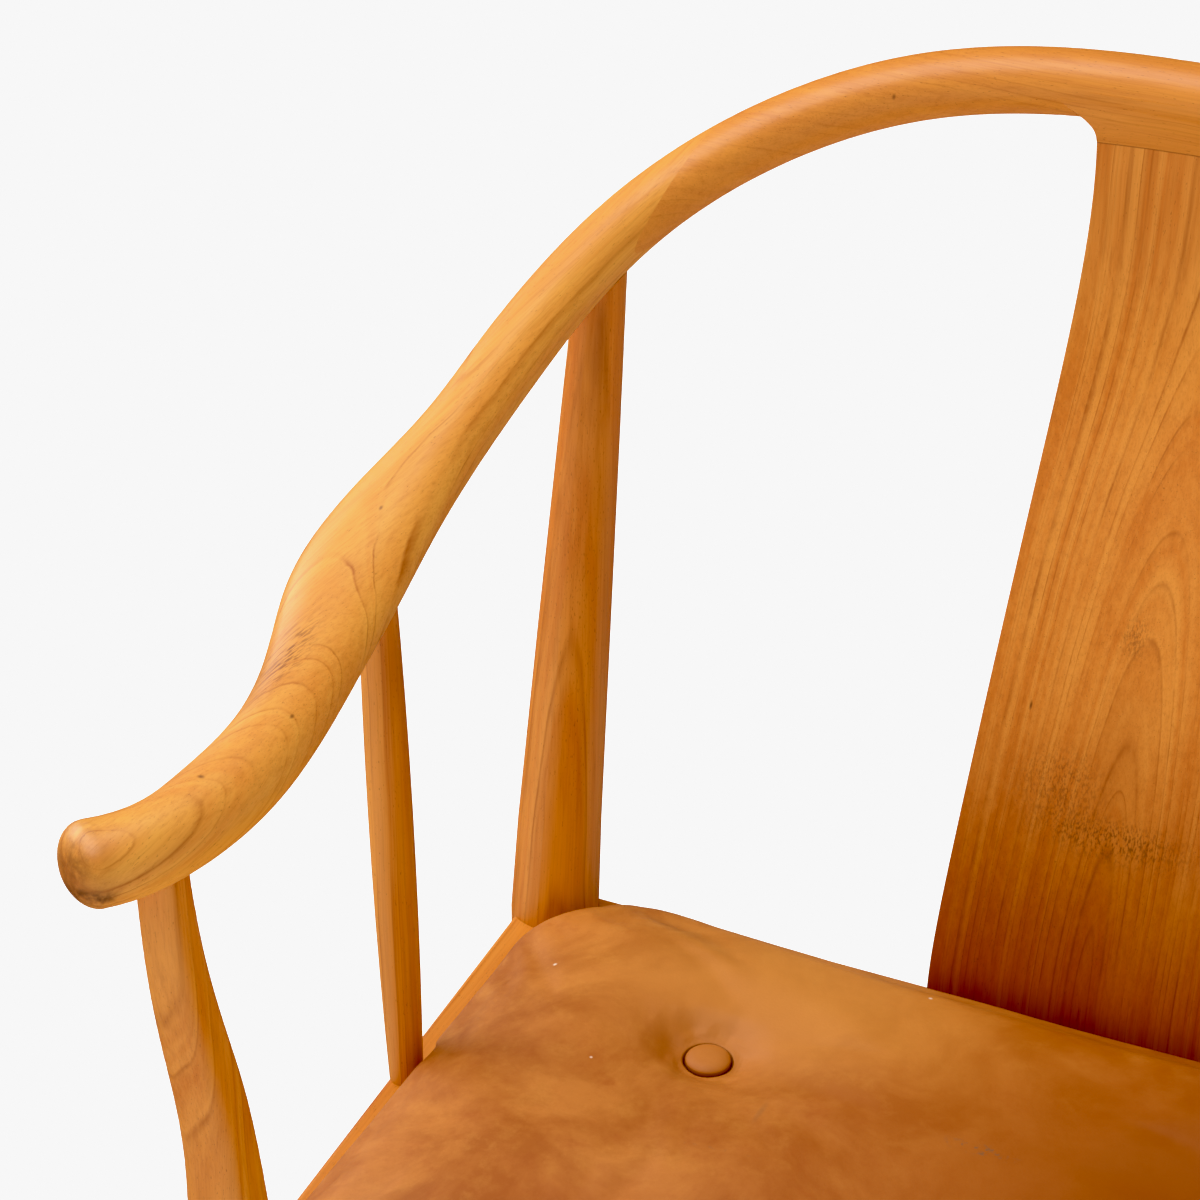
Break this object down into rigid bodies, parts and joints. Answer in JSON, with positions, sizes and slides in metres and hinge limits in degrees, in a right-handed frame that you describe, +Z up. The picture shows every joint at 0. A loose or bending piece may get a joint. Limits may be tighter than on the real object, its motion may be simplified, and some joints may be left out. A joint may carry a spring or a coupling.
{
  "type": "horseshoe back armchair",
  "caption": "Wooden armchair whose back rail and arms form one falling horseshoe curve, with an S-shaped splat and a loose tufted leather seat cushion.",
  "frame": {"origin": "on the floor, under the middle of the chair's outline", "axes": "+Z up, +Y towards the back, +X to the right as seen from the front"},
  "size_m": [0.5636, 0.5178, 0.8172],
  "materials": {
    "cherry": "satin lacquered cherry, honey brown",
    "hidden_wood": "plain birch plywood and beech, unseen under the cushion",
    "leather": "tan leather with a soft worn patina",
    "glide_plastic": "dark nylon",
    "screw_steel": "zinc plated"
  },
  "bodies": {
    "frame": {"back_apron": "cherry", "back_left_corner_block": "hidden_wood", "back_left_glide": "glide_plastic", "back_left_leg": "cherry", "back_rail": "cherry", "back_right_corner_block": "hidden_wood", "back_right_glide": "glide_plastic", "back_right_leg": "cherry", "back_stretcher": "cherry", "crest_rail": "cherry", "front_apron": "cherry", "front_left_corner_block": "hidden_wood", "front_left_glide": "glide_plastic", "front_left_leg": "cherry", "front_rail": "cherry", "front_right_corner_block": "hidden_wood", "front_right_glide": "glide_plastic", "front_right_leg": "cherry", "front_stretcher": "cherry", "left_apron": "cherry", "left_arm": "cherry", "left_rail": "cherry", "left_scarf_dowel": "cherry", "left_side_spindle": "cherry", "left_stretcher": "cherry", "right_apron": "cherry", "right_arm": "cherry", "right_rail": "cherry", "right_scarf_dowel": "cherry", "right_side_spindle": "cherry", "right_stretcher": "cherry", "seat_panel": "hidden_wood", "seat_panel_screws": "screw_steel", "splat": "cherry"},
    "cushion": {"back_left_button": "leather", "back_right_button": "leather", "front_left_button": "leather", "front_right_button": "leather", "seat_cushion": "leather"}
  },
  "joints": [
    {"name": "cushion_lift", "type": "slide", "parent": "frame", "child": "cushion", "axis": [0, 0, 1], "range_m": [0, 0.12]}
  ]
}
